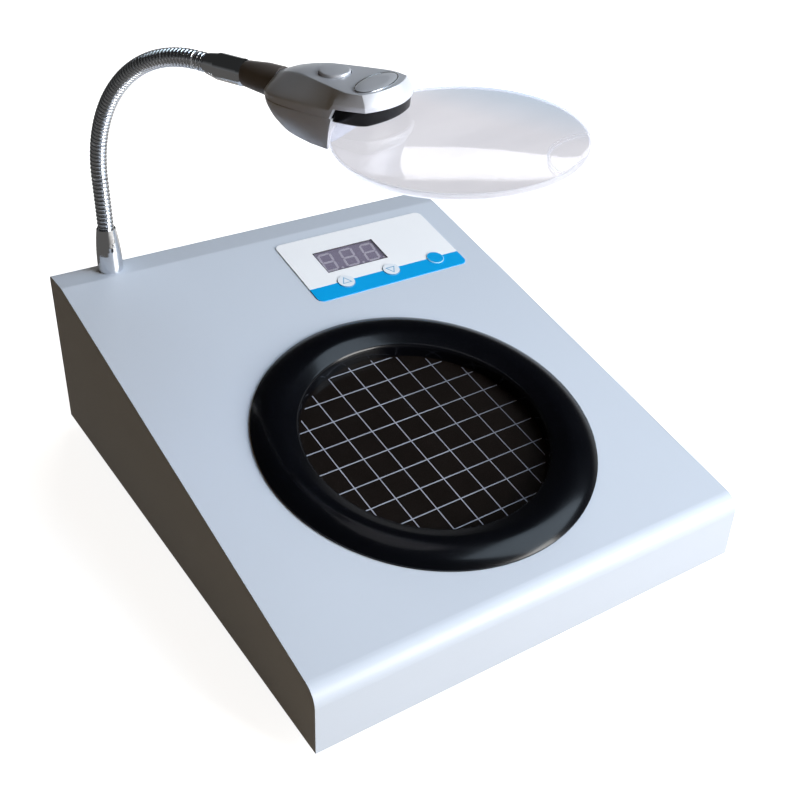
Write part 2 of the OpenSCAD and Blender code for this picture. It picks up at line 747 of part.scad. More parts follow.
module head_stem() color([0.42, 0.41, 0.43]) {
    bore = sleeve_r - 1.25;
    neck_len = head_x - stem_x;
    head_frame() along_x(stem_x) rotate_extrude($fn = fine)
        polygon([[0, 5 - sleeve_l], [bore, 5 - sleeve_l], [bore, 0], [sleeve_r - 0.5, 0], [sleeve_r - 0.2, 1],
            [sleeve_r + 0.8, neck_len], [sleeve_r + 0.8, neck_len + 4], [sleeve_r + 2.4, neck_len + 4],
            [sleeve_r + 2.4, neck_len + 7], [0, neck_len + 7]]);
}

// Plan of the head at the seam, drawn in by t
module head_plan(t) {
    half = head_w / 2;
    intersection() {
        hull() for (y = [-1, 1]) {
            translate([head_x + 9, y * (half - 12)]) circle(r = 9 - t, $fn = coarse);
            translate([nose_x - 12, y * (half - 9)]) circle(r = 9 - t, $fn = coarse);
        }
        translate([nose_x - 46, 0]) circle(r = 46 - t, $fn = fine);
    }
}

module head_top(t, low) {
    half = head_w / 2;
    hull() {
        translate([0, 0, low]) linear_extrude(4 - low) head_plan(t);
        translate([0, 0, plateau - 0.5 - t]) linear_extrude(0.5) intersection() {
            hull() for (y = [-1, 1]) {
                translate([head_x + 25, y * 5]) circle(r = 5 - t / 2, $fn = coarse);
                translate([nose_x - 26, y * (half - 8)]) circle(r = 5 - t / 2, $fn = coarse);
                translate([nose_x - 10, y * (half - 9)]) circle(r = 6 - t / 2, $fn = coarse);
            }
            translate([nose_x - 49, 0]) circle(r = 46 - t, $fn = fine);
        }
    }
}

module stem_room() {
    along_x(head_x - 5) cylinder(r = sleeve_r + 0.85, h = 12, $fn = coarse);
    along_x(head_x + 3.9) cylinder(r = sleeve_r + 2.45, h = 3.2, $fn = coarse);
}

module head_upper() color([0.62, 0.63, 0.66]) {
    head_frame() difference() {
        head_top(0, part_z);
        difference() {
            head_top(wall, part_z - 1);
            translate([head_x - 1, -head_w / 2, part_z - 2]) cube([9, head_w, 20]);
            for (y = [-1, 1]) translate([screw_x, y * screw_y, part_z - 2]) cylinder(r = 3, h = 20, $fn = coarse);
            for (y = [-1, 1]) translate([tongue_x + 6, y * (tongue_w / 2 - 1.2), lens_top]) cylinder(r = 1.5, h = 20, $fn = coarse);
        }
        translate([jaw_x, -head_w, part_z - 1]) cube([40, 2 * head_w, lip_z - part_z + 1]);
        translate([button_x, 0, 0]) cylinder(r = button_r + slip, h = 20, $fn = fine);
        for (y = [-1, 1]) translate([screw_x, y * screw_y, part_z - 1]) cylinder(r = 1, h = 7, $fn = coarse);
        stem_room();
    }
}

// Lower part of the head between its rear and the jaw, drawn in by t
module head_bottom(t, high) {
    half = head_w / 2;
    hull() {
        translate([0, 0, part_z - 1]) linear_extrude(1 + high) intersection() {
            head_plan(t);
            translate([head_x, -head_w]) square([jaw_x - head_x - t, 2 * head_w]);
        }
        for (y = [-1, 1]) {
            translate([head_x + 9, y * (half - 12), -8.5 + t]) cylinder(r = 6.5 - t, h = 1, $fn = coarse);
            translate([head_x + 10, y * (half - 12), -10 + t]) cylinder(r = 5 - t, h = 1, $fn = coarse);
            translate([jaw_x - t - 1.5, y * (half - 2.5 - t), -11.5 + t]) cylinder(r = 1.5, h = 1, $fn = coarse);
            translate([jaw_x - t - 1.5, y * (half - 4.5 - t), -13.6 + t]) cylinder(r = 1.5, h = 1, $fn = coarse);
        }
    }
}

module head_lower() color([0.40, 0.39, 0.40]) {
    shelf = lens_top - tongue_t;
    head_frame() difference() {
        head_bottom(0, 0);
        difference() {
            head_bottom(wall, 1);
            translate([head_x - 1, -head_w / 2, -16]) cube([9, head_w, 20]);
            for (y = [-1, 1]) translate([screw_x, y * screw_y, -16]) cylinder(r = 3, h = 16, $fn = coarse);
            translate([tongue_x, -tongue_w / 2, -16]) cube([8, tongue_w, 16 + shelf]);
            for (y = [-1, 1]) translate([head_x + 23, y * 4.5, -16]) cylinder(r = 1.8, h = 20, $fn = coarse);
        }
        translate([jaw_x - 4, -head_w, shelf - lens_gap]) cube([20, 2 * head_w, 20]);
        for (y = [-1, 1]) translate([screw_x, y * screw_y, -16]) cylinder(r = 1.2, h = 20, $fn = coarse);
        for (y = [-1, 1]) translate([screw_x, y * screw_y, -16]) cylinder(r = 2.4, h = 8, $fn = coarse);
        stem_room();
    }
}

module head_gasket() color([0.02, 0.02, 0.02]) {
    head_frame() translate([0, 0, lens_top]) linear_extrude(lip_z - lens_top) intersection() {
        difference() {
            head_plan(1.1);
            head_plan(3.6);
        }
        translate([jaw_x, -head_w]) square([40, 2 * head_w]);
    }
}

module head_badge() color([0.55, 0.56, 0.59]) {
    head_frame() translate([badge_x, 0, plateau]) linear_extrude(0.3) scale([7.5, 14.6]) circle(r = 1, $fn = fine);
}

module head_button() color([0.58, 0.59, 0.62]) {
    flange_r = button_r + 0.9;
    head_frame() translate([button_x, 0, 0]) rotate_extrude($fn = fine)
        polygon([[0, button_low], [flange_r, button_low], [flange_r, button_low + button_flange],
            [button_r, button_low + button_flange], [button_r, button_top - 0.6],
            [button_r - 0.6, button_top], [0, button_top]]);
}

module head_board() color([0.10, 0.35, 0.18]) {
    tall = button_low - button_travel - 0.1 - head_board_z - head_board_t;
    head_frame() {
        translate([head_x + 19, -6.5, head_board_z]) cube([head_l - 28, 13, head_board_t]);
        translate([button_x, 0, head_board_z + head_board_t]) cylinder(r = 3, h = tall, $fn = coarse);
    }
}

module head_lamps() color([0.95, 0.95, 0.98]) {
    head_frame() for (y = [-1, 1]) translate([nose_x - 10, y * 5, lens_top + 0.6])
        cylinder(r = 2.5, h = head_board_z - lens_top - 0.6, $fn = coarse);
}

module head_screws() color([0.70, 0.71, 0.74]) {
    head_frame() for (y = [-1, 1]) translate([screw_x, y * screw_y, 0]) {
        translate([0, 0, -9.6]) cylinder(r = 2.2, h = 1.6, $fn = coarse);
        translate([0, 0, -9]) cylinder(r = 0.95, h = 12, $fn = coarse);
    }
}

module lens() color([0.85, 0.87, 0.95, 0.4]) {
    head_frame() union() {
        translate([lens_x, 0, 0]) intersection() {
            translate([0, 0, lens_top - 20]) cylinder(r = lens_r, h = 20, $fn = fine);
            translate([0, 0, lens_top - lens_edge - lens_bulge + lens_ball]) sphere(r = lens_ball, $fn = 360);
        }
        translate([tongue_x, -tongue_w / 2, lens_top - tongue_t]) cube([16, tongue_w, tongue_t]);
        translate([lens_x, 0, 0]) intersection() {
            translate([0, 0, lens_top - 1]) cylinder(r = lens_r - 0.6, h = 3, $fn = fine);
            translate([spot_at * cos(spot_turn), spot_at * sin(spot_turn), 0]) intersection() {
                translate([0, 0, lens_top - 1]) cylinder(r = spot_r, h = 3, $fn = fine);
                translate([0, 0, lens_top + spot_rise - spot_ball]) sphere(r = spot_ball, $fn = 360);
            }
        }
    }
}

housing_shell();
base_plate();
feet();
base_screws();
dish_ring();
grid_plate();
grid_lines();
ring_clamp();
light_chamber();
light_board();
ring_lamps();
backing_disc();
ring_screws();
panel_film();
display_window();
display_module();
display_segments();
key_up();
key_down();
key_reset();
control_board();
key_switches();
board_standoffs();
board_screws();
mains_inlet();
inlet_pins();
inlet_screws();
switch_frame();
switch_rocker();
power_board();
power_parts();
neck_ferrule();
neck_nut();
neck_0();
neck_1();
neck_2();
neck_3();
neck_4();
neck_5();
neck_6();
neck_7();
neck_sleeve();
head_stem();
head_upper();
head_lower();
head_gasket();
head_badge();
head_button();
head_board();
head_lamps();
head_screws();
lens();
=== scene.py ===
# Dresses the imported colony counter: finishes for every node, the glossy dish ring, the moulded
# head, the clear lens and the printed key panel. The scene is in metres, in the part's frame.
# The pieces' dictionaries are in millimetres, the camera's and the room's in metres.
import json
import math

import bpy
from mathutils import Matrix, Vector


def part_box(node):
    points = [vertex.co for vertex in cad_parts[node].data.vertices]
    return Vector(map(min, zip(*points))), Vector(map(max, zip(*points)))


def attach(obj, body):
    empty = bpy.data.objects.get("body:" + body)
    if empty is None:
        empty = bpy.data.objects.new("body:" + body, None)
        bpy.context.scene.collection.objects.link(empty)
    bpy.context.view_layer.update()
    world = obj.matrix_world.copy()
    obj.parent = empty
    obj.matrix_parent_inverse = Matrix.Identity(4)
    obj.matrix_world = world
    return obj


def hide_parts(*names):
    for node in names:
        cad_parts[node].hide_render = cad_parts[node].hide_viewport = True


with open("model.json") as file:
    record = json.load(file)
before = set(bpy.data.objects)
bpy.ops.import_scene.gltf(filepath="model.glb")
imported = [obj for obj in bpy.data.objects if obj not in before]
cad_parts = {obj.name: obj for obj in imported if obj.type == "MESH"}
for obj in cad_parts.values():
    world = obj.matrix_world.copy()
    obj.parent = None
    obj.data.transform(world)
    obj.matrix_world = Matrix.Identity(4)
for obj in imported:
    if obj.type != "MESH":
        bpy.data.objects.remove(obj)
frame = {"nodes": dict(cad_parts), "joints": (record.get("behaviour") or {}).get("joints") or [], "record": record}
nodes = frame["nodes"]
joints = {joint["name"]: joint for joint in frame["joints"]}
mounts = {mount["name"]: mount for mount in frame["record"]["mounts"]}
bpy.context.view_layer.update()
mm = 0.001
axisGap = 0.01  # radius at which a turned profile ends, just off its axis
mouthRise = 2.95  # from the well's mount up to the face of the slope
panelBlue = (0.0, 0.36, 0.80)
keyWhite = (0.80, 0.86, 0.95)
print("frame loaded:", len(nodes), "nodes")

# Camera
camera = {
    "place": (-0.24233, -0.37345, 0.34231),
    "turn": (56.717, -1.788, -33.290),  # degrees about X, Y and Z
    "lens": 50.51,
    "sensor": 36.0,
}

bpy.ops.object.camera_add(
    location=camera["place"], rotation=[math.radians(a) for a in camera["turn"]]
)
eye = bpy.context.object
eye.data.lens = camera["lens"]
eye.data.sensor_width = camera["sensor"]
eye.data.clip_start = 0.01
eye.data.clip_end = 20
bpy.context.scene.camera = eye
bpy.context.scene.view_settings.view_transform = "Standard"


# Places taken from the frame
def placeFrom(origin, x, y, z):
    matrix = Matrix((x, y, z)).transposed().to_4x4()
    matrix.translation = origin
    return matrix


# Slope: X to the right, Y up the slope, Z out of it, centred on the dish well
slopeUp = Vector(mounts["dish_well"]["axis"]).normalized()
slopeAlong = slopeUp.cross(Vector((1, 0, 0)))
wellMouth = Vector(mounts["dish_well"]["pos_m"]) + slopeUp * mouthRise * mm
slopePlace = placeFrom(wellMouth, Vector((1, 0, 0)), slopeAlong, slopeUp)

# Head: X along the sleeve, Z up, from the last hinge of the neck
headUp = -Vector(joints["light_button_press"]["axis"]).normalized()
headAhead = Vector((0, 0, 1)).cross(headUp).normalized()
headPlace = placeFrom(
    Vector(joints["neck_bend_4"]["pos_m"]), headAhead, headUp.cross(headAhead), headUp
)


def onSlope(name):
    low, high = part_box(name)
    return slopePlace.inverted() @ ((Vector(low) + Vector(high)) / 2)


def panelSize(name):
    low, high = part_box(name)
    return high[0] - low[0], (high[1] - low[1]) / abs(slopeAlong.y)


# Shader maths
class Socket:
    def __init__(self, finish, out):
        self.finish = finish
        self.out = out

    def maths(self, operation, first, second=0.0):
        node = self.finish.node(
            "ShaderNodeMath", {"operation": operation}, {0: first, 1: second}
        )
        return Socket(self.finish, node.outputs[0])

    def __add__(self, other):
        return self.maths("ADD", self, other)

    def __radd__(self, other):
        return self.maths("ADD", other, self)

    def __sub__(self, other):
        return self.maths("SUBTRACT", self, other)

    def __rsub__(self, other):
        return self.maths("SUBTRACT", other, self)

    def __mul__(self, other):
        return self.maths("MULTIPLY", self, other)

    def __rmul__(self, other):
        return self.maths("MULTIPLY", other, self)

    def above(self, edge):
        return self.maths("GREATER_THAN", self, edge)

    def below(self, edge):
        return self.maths("LESS_THAN", self, edge)

    def size(self):
        return self.maths("ABSOLUTE", self)


class Finish:
    def __init__(self, name):
        self.material = bpy.data.materials.new(name)
        self.material.use_nodes = True
        self.tree = self.material.node_tree
        self.shader = self.tree.nodes["Principled BSDF"]
        self.end = self.tree.nodes["Material Output"]

    def node(self, kind, settings=None, inputs=None):
        made = self.tree.nodes.new(kind)
        for key, value in (settings or {}).items():
            setattr(made, key, value)
        for key, value in (inputs or {}).items():
            self.feed(made.inputs[key], value)
        return made

    def feed(self, socket, value):
        if isinstance(value, Socket):
            self.tree.links.new(value.out, socket)
        elif isinstance(value, bpy.types.NodeSocket):
            self.tree.links.new(value, socket)
        elif hasattr(value, "__len__") and len(value) == 3 and socket.type == "RGBA":
            socket.default_value = (*value, 1)
        else:
            socket.default_value = value

    def set(self, **values):
        for key, value in values.items():
            name = key.replace("_", " ").title().replace("Ior", "IOR")
            self.feed(self.shader.inputs[name], value)
        return self

    def coords(self, place=None):
        out = self.node("ShaderNodeTexCoord").outputs["Object"]
        if place is None:
            return out
        back = place.inverted()
        mapping = self.node(
            "ShaderNodeMapping",
            {"vector_type": "POINT"},
            {
                "Vector": out,
                "Location": tuple(back.translation),
                "Rotation": tuple(back.to_euler()),
            },
        )
        return mapping.outputs["Vector"]

    def split(self, vector):
        made = self.node("ShaderNodeSeparateXYZ", None, {0: vector})
        return [Socket(self, out) for out in made.outputs]

    def noise(self, scale, detail, stretch=None):
        vector = self.coords()
        if stretch:
            vector = self.node(
                "ShaderNodeMapping", None, {"Vector": vector, "Scale": stretch}
            ).outputs["Vector"]
        made = self.node(
            "ShaderNodeTexNoise",
            None,
            {"Vector": vector, "Scale": scale, "Detail": detail},
        )
        return Socket(self, made.outputs["Fac"])

    def mix(self, amount, first, second):
        made = self.node(
            "ShaderNodeMix",
            {"data_type": "RGBA"},
            {0: amount, 6: first, 7: second},
        )
        return made.outputs[2]

    def ramp(self, value, low, high, first, last):
        made = self.node(
            "ShaderNodeMapRange",
            None,
            {0: value, 1: low, 2: high, 3: first, 4: last},
        )
        return Socket(self, made.outputs[0])

    def around(self, name):
        spot = onSlope(name)
        across, along = self.split(self.coords(slopePlace))[:2]
        return across - spot.x, along - spot.y

    def reach(self, across, along):
        return across.maths("SQRT", across * across + along * along)

    def bump(self, height, strength, distance):
        made = self.node(
            "ShaderNodeBump",
            None,
            {"Height": height, "Strength": strength, "Distance": distance},
        )
        self.feed(self.shader.inputs["Normal"], made.outputs["Normal"])


finishes = {}


def remember(slot, finish):
    finishes[slot] = finish.material
    return finish


# Finishes
def shades(colour, change):
    return [c * (1 - change) for c in colour], [min(1, c * (1 + change)) for c in colour]


def makePaint(slot, colour, gloss):
    paint = remember(slot, Finish(slot))
    cloud = paint.noise(9, 3)  # broad, weak change of colour
    fine = paint.noise(1400, 2)  # orange peel of the sprayed coat
    paint.set(
        base_color=paint.mix(cloud, *shades(colour, 0.03)),
        roughness=gloss + (fine - 0.5) * 0.08,
        specular_ior_level=0.3,
        coat_weight=0.05,
        coat_roughness=0.22,
    )
    paint.bump(fine, 0.10, 0.05 * mm)


skinDepth = 0.04 * mm  # depth of the grain on moulded and printed faces


def makePlastic(slot, colour, gloss, grain=0.15, scale=2200, wear=0.06):
    plastic = remember(slot, Finish(slot))
    cloud = plastic.noise(60, 4)
    skin = plastic.noise(scale, 2)
    plastic.set(
        base_color=plastic.mix(cloud, *shades(colour, wear)),
        roughness=gloss + (cloud - 0.5) * 0.10,
    )
    plastic.bump(skin, grain, skinDepth)
    return plastic


def makeMetal(slot, colour, gloss, brushed=(1, 1, 1), scratch=0.05):
    metal = remember(slot, Finish(slot))
    cloud = metal.noise(80, 3)
    lines = metal.noise(500, 3, stretch=brushed)
    metal.set(
        base_color=metal.mix(cloud, [c * 0.94 for c in colour], colour),
        metallic=1.0,
        roughness=gloss + (lines - 0.5) * 0.12 + (cloud - 0.5) * 0.06,
    )
    metal.bump(lines, scratch, 0.03 * mm)
    return metal


makePaint("housing_paint", (0.575, 0.64, 0.745), 0.36)
makePaint("base_steel", (0.20, 0.205, 0.215), 0.45)
makePlastic("foot_rubber", (0.018, 0.018, 0.019), 0.75, 0.5, 900)
makeMetal("screw_steel", (0.56, 0.56, 0.57), 0.28, (1, 1, 6))
makeMetal("clamp_metal", (0.72, 0.73, 0.74), 0.35, (8, 1, 1))
makeMetal("standoff_brass", (0.75, 0.60, 0.32), 0.28)
makePlastic("chamber_white", (0.80, 0.80, 0.77), 0.5)
makePlastic("circuit_green", (0.012, 0.12, 0.045), 0.35, 0.4, 700)
makePlastic("lamp_clear", (0.86, 0.86, 0.80), 0.15)
makePlastic("power_brown", (0.30, 0.19, 0.08), 0.5)
makePlastic("power_yellow", (0.62, 0.45, 0.04), 0.4)
makePlastic("switch_black", (0.014, 0.014, 0.015), 0.38, 0.35, 1500)
makePlastic("key_white", keyWhite, 0.34, 0.12)
makePlastic("key_blue", panelBlue, 0.34, 0.12)
makePlastic("display_grey", (0.29, 0.27, 0.39), 0.4)
makePlastic("segment_pale", (0.84, 0.83, 0.94), 0.35)
makePlastic("stem_grey", (0.16, 0.14, 0.13), 0.34, 0.2, 1100)

ringFinish = makePlastic("ring_black", (0.0018, 0.0021, 0.0034), 0.20, 0.02, 300, 0.2)
ringFinish.set(specular_ior_level=0.22, coat_weight=0.10, coat_roughness=0.08)
plateFinish = makePlastic("plate_dark", (0.0080, 0.0062, 0.0055), 0.16, 0.03, 250, 0.3)
plateFinish.set(specular_ior_level=0.25, coat_weight=0.05, coat_roughness=0.06)

makeMetal("neck_chrome", (0.80, 0.81, 0.83), 0.10, scratch=0.03)
silver = makeMetal("head_silver", (0.68, 0.71, 0.78), 0.32)
silver.set(metallic=0.30, coat_weight=0.12, coat_roughness=0.15)


linePaintedShade = {"reach": 48.0, "most": 0.8}  # painted shade: the printed lines are darkened towards the right


def makeLines():
    lines = remember("line_white", Finish("line_white"))
    across = lines.split(lines.coords(slopePlace))[0]
    paintedShade = lines.ramp(across, 0.0, linePaintedShade["reach"] * mm, 0.0, linePaintedShade["most"])
    cloud = lines.noise(60, 4)
    ink = lines.mix(cloud, (0.27, 0.30, 0.38), (0.33, 0.36, 0.44))
    # painted shade: the ink fades to near black towards the right
    lines.set(base_color=lines.mix(paintedShade, ink, (0.05, 0.055, 0.07)), roughness=0.45 + cloud * 0.1)


makeLines()


film = {"band": 10.5, "gloss": 0.32, "grain": 0.12}  # the blue band runs along its lower edge


def makeFilm():
    printed = remember("panel_film", Finish("panel_film"))
    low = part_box("panel_film")[0]
    along = printed.split(printed.coords(slopePlace))[1]
    start = (slopePlace.inverted() @ Vector((0, low.y, low.z))).y
    band = along.below(start + film["band"] * mm)
    cloud = printed.noise(40, 3)
    pale = printed.mix(cloud, (0.88, 0.91, 0.97), (0.92, 0.95, 1.0))
    printed.set(
        base_color=printed.mix(band, pale, panelBlue),
        roughness=film["gloss"] + (cloud - 0.5) * 0.1,
    )
    printed.bump(printed.noise(2500, 2), film["grain"], skinDepth)


makeFilm()


window = {"rim": 0.4, "alpha": 0.25, "rimAlpha": 0.6, "coat": 0.3}


def makeWindow():
    pane = remember("window_tint", Finish("window_tint"))
    smoke = pane.noise(30, 2)
    across, along = pane.around("display_window")
    wide, high = panelSize("display_window")
    pastSide = across.size() - (wide / 2 - window["rim"] * mm)
    pastEnd = along.size() - (high / 2 - window["rim"] * mm)
    rim = pastSide.maths("MAXIMUM", pastSide, pastEnd).above(0)
    tint = pane.mix(smoke, (0.26, 0.23, 0.31), (0.30, 0.27, 0.35))
    pane.set(
        base_color=pane.mix(rim, tint, (0.05, 0.045, 0.06)),
        roughness=0.12 + smoke * 0.05,
        alpha=window["alpha"] + rim * window["rimAlpha"],
        coat_weight=window["coat"],
    )


makeWindow()


lens = {
    "centre": 127.6, "radius": 47.1, "top": -2.3, "edge": 2.2, "round": 0.45, "bulge": 1.6,
    "insert": {"away": 55.1, "turn": 13.5, "radius": 21.5, "rise": 0.7, "sag": 0.9, "sunk": 1.0,
               "inset": 0.3},
    "milkyFrom": 46.4,  # radius at which the milky edge starts
    "step": 0.35,  # half the width of the pale line round the insert
    "far": (18, 47),  # along the head's Y, where the bluish tint starts and is full
    "steps": 24,
}


def makeAcrylic():
    acrylic = remember("lens_clear", Finish("lens_clear"))
    part = lens["insert"]
    x, y = acrylic.split(acrylic.coords(headPlace))[:2]
    turn = math.radians(part["turn"])
    centre = lens["centre"] * mm
    away = acrylic.reach(x - centre, y)
    apart = acrylic.reach(
        x - (centre + part["away"] * mm * math.cos(turn)),
        y - part["away"] * mm * math.sin(turn),
    )
    haze = acrylic.noise(26, 3, stretch=(0.5, 1.4, 1))
    tint = acrylic.mix(haze, (0.66, 0.66, 0.72), (0.93, 0.92, 0.97))
    start, full = lens["far"]
    far = acrylic.ramp(y, start * mm, full * mm, 0.0, 0.75)
    tint = acrylic.mix(far, tint, (0.50, 0.62, 0.76))
    inside = apart.below(part["radius"] * mm)
    tint = acrylic.mix(inside * 0.15, tint, (0.62, 0.62, 0.68))
    acrylic.set(
        base_color=tint,
        roughness=0.015 + haze * 0.03,
        ior=1.2,
        transmission_weight=1.0,
        coat_weight=0.25,
        coat_roughness=0.03,
    )
    glass = acrylic.shader.outputs[0]
    clear = acrylic.node("ShaderNodeBsdfTransparent", None, {"Color": (0.92, 0.94, 0.98)})
    dull = acrylic.node("ShaderNodeBsdfDiffuse", None, {"Color": (0.86, 0.86, 0.92)})
    milky = acrylic.node("ShaderNodeBsdfTranslucent", None, {"Color": (0.92, 0.92, 0.97)})
    ground = acrylic.node(
        "ShaderNodeMixShader", None, {0: 0.7, 1: dull.outputs[0], 2: milky.outputs[0]}
    )
    step = (apart - part["radius"] * mm).size().below(lens["step"] * mm)
    edge = away.above(lens["milkyFrom"] * mm)
    cut = edge.maths("MAXIMUM", edge * 0.8, step * 0.5)
    body = acrylic.node("ShaderNodeMixShader", None, {0: cut, 1: glass, 2: ground.outputs[0]})
    path = acrylic.node("ShaderNodeLightPath")
    both = acrylic.node(
        "ShaderNodeMixShader",
        None,
        {0: path.outputs["Is Shadow Ray"], 1: body.outputs[0], 2: clear.outputs[0]},
    )
    acrylic.tree.links.new(both.outputs[0], acrylic.end.inputs["Surface"])


makeAcrylic()
print("finishes made:", len(finishes))

# A key's point is 1 for a triangle that points up, -1 for down and 0 for none
keys = {
    "key_up": {"face": keyWhite, "line": (0.16, 0.42, 0.66), "point": 1},
    "key_down": {"face": keyWhite, "line": (0.16, 0.42, 0.66), "point": -1},
    "key_reset": {"face": panelBlue, "line": (0.50, 0.80, 0.95), "point": 0},
}
# Shares of a key's radius: where each printed line lies, and half its width
keyMarks = {"ring": (0.88, 0.055), "triangle": (0.26, 0.045)}


def makeKey(name, face, line, point):
    key = Finish(name)
    across, along = key.around(name)
    radius = panelSize(name)[0] / 2
    away = key.reach(across, along)
    spot, width = keyMarks["ring"]
    marks = (away - radius * spot).size().below(radius * width)
    if point:
        spot, width = keyMarks["triangle"]
        side = (along * point + across.size() * math.sqrt(3)) * 0.5
        shape = side.maths("MAXIMUM", side, along * -point)
        marks = marks.maths("MAXIMUM", marks, (shape - radius * spot).size().below(radius * width))
    cloud = key.noise(90, 2)
    pale = key.mix(cloud, [c * 0.97 for c in face], face)
    key.set(base_color=key.mix(marks, pale, line), roughness=0.30 + cloud * 0.06)
    key.bump(key.noise(2400, 2), 0.1, skinDepth)
    return key.material


slots = {part["node"]: part["material_slot"] for part in frame["record"]["subparts"]}
for name, node in nodes.items():
    node.data.materials.clear()
    node.data.materials.append(finishes[slots[name]])
for name, look in keys.items():
    nodes[name].data.materials[0] = makeKey(name, **look)


# Modelling helpers
def settle(piece, name, slot, body, place=None):
    piece.name = name
    piece.data.name = name
    bpy.context.view_layer.update()
    piece.data.transform((place or Matrix.Identity(4)) @ piece.matrix_world)
    piece.matrix_world = Matrix.Identity(4)
    piece.data.materials.clear()
    piece.data.materials.append(finishes[slot])
    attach(piece, body)
    return piece


def alone(piece):
    bpy.ops.object.select_all(action="DESELECT")
    piece.select_set(True)
    bpy.context.view_layer.objects.active = piece


def smooth(piece, angle=35):
    alone(piece)
    bpy.ops.object.shade_smooth_by_angle(angle=math.radians(angle))


def applyModifier(piece, kind, **settings):
    alone(piece)
    made = piece.modifiers.new(kind.title(), kind)
    for key, value in settings.items():
        setattr(made, key, value)
    bpy.ops.object.modifier_apply(modifier=made.name)


def arc(centre, radius, start, stop, steps):
    angles = [math.radians(start + (stop - start) * i / steps) for i in range(steps + 1)]
    return [
        (centre[0] + radius * math.cos(a), centre[1] + radius * math.sin(a)) for a in angles
    ]


def lathe(profile, steps):
    bpy.ops.object.select_all(action="DESELECT")
    loop = profile + [profile[0]]
    bpy.ops.mesh.primitive_circle_add(
        vertices=steps, radius=loop[0][0], location=(0, 0, 0)
    )
    piece = bpy.context.object
    bpy.ops.object.mode_set(mode="EDIT")
    bpy.ops.mesh.select_all(action="SELECT")
    bpy.ops.transform.translate(value=(0, 0, loop[0][1]))
    for before, after in zip(loop, loop[1:]):
        bpy.ops.mesh.extrude_edges_move()
        grow = after[0] / before[0]
        bpy.ops.transform.resize(
            value=(grow, grow, 1), center_override=(0, 0, before[1])
        )
        bpy.ops.transform.translate(value=(0, 0, after[1] - before[1]))
    bpy.ops.mesh.select_all(action="SELECT")
    bpy.ops.mesh.remove_doubles(threshold=1e-7)
    bpy.ops.mesh.normals_make_consistent(inside=False)
    bpy.ops.object.mode_set(mode="OBJECT")
    return piece


# Dish ring
ring = {
    "outer": 78.6, "rim": 1.0, "crown": (67.5, 4.6), "inner": 12.0, "fall": 23,
    "well": 57.0, "lip": 2.4, "lipDepth": 0.4, "wellDepth": 5.5, "rebate": 59.0, "plate": 8.6,
    "snap": 58.3, "spigot": 61.5, "depth": 12.1,
}


def makeRing():
    r = ring
    wide = r["outer"] - r["crown"][0]
    drop = r["crown"][1] - r["rim"]
    outerArc = (wide**2 + drop**2) / (2 * drop)
    sweep = math.degrees(math.asin(wide / outerArc))
    profile = [(r["snap"], -r["depth"]), (r["snap"], -r["plate"]), (r["rebate"], -r["plate"])]
    profile += [(r["rebate"], -r["wellDepth"]), (r["well"], -r["wellDepth"])]
    profile += arc((r["well"] + r["lip"], -r["lipDepth"]), r["lip"], 180, 90 + r["fall"], 10)
    profile += arc((r["crown"][0], r["crown"][1] - r["inner"]), r["inner"], 90 + r["fall"], 90, 10)
    profile += arc((r["crown"][0], r["crown"][1] - outerArc), outerArc, 90, 90 - sweep, 22)[1:]
    profile += [(r["outer"], 0), (r["spigot"], 0), (r["spigot"], -r["depth"])]
    piece = lathe([(a * mm, b * mm) for a, b in profile], 256)
    smooth(piece, 32)
    settle(piece, "dishRing", "ring_black", "base", slopePlace)
    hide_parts("dish_ring")


makeRing()
print("dish ring made")

# Moulded head
head = {
    "rear": 42.8, "nose": 101.6, "jaw": 82.6, "seam": -0.8, "lip": 3.3, "frontCurve": 42.0,
    "skew": 0.10,
    "half": [(43, 8), (45, 11.5), (47.5, 14), (51, 16), (56, 17), (66, 17.3), (83, 17.2),
             (88, 16.7), (93, 15.9), (98, 15.0), (102, 14.2)],
    "plateau": [(43, 2.5), (52, 4.6), (60, 6.5), (64, 7.9), (77, 11.3), (85, 13.2), (90, 14.2),
                (95, 14.1), (100, 13.4)],
    "top": [(43, 3.4), (46.5, 5.4), (52, 7.4), (58, 8.7), (64, 9.3), (101, 9.4)],
    "belly": [(43, -5), (46, -8), (49, -10.8), (53, -12.8), (60, -14), (70, -14.4), (83, -14.7)],
    "chin": [(43, 3.6), (51, 5.4), (60, 4.9), (70, 3.2), (83, 2.6)],
    "round": (0.30, 0.30),  # rounding of the plan's front and rear corners, upper shell
    "roundLow": (0.04, 0.30),  # the same for the lower shell, square at the jaw
    "shoulder": 0.30,  # share of the height at which the upper sides start to lean in
    "lean": 1.25,  # power of that lean
    "noseLean": 2.5, "crown": 0.35, "bellyLean": 2.0, "rearLean": 2.2, "slant": 4.6,
    "edge": 0.55, "edgeLow": 0.5, "cuts": 21,
}
gasket = {"back": 80.0, "low": -2.25, "over": 0.6, "inset": 1.5, "ahead": 1, "lean": 0.9,
          "round": (0.30, 0.02), "edge": 0.4, "cuts": 13}


def follow(table, x):
    if x <= table[0][0]:
        return table[0][1]
    for (x0, y0), (x1, y1) in zip(table, table[1:]):
        if x <= x1:
            return y0 + (y1 - y0) * (x - x0) / (x1 - x0)
    return table[-1][1]


def roundPlan(u, v, front, rear):
    corner = front if u > 0 else rear
    return (
        u * math.sqrt(1 - corner * v * v / 2),
        v * math.sqrt(1 - corner * u * u / 2),
    )


def noseBack(y):
    return head["frontCurve"] - math.sqrt(head["frontCurve"] ** 2 - y * y)


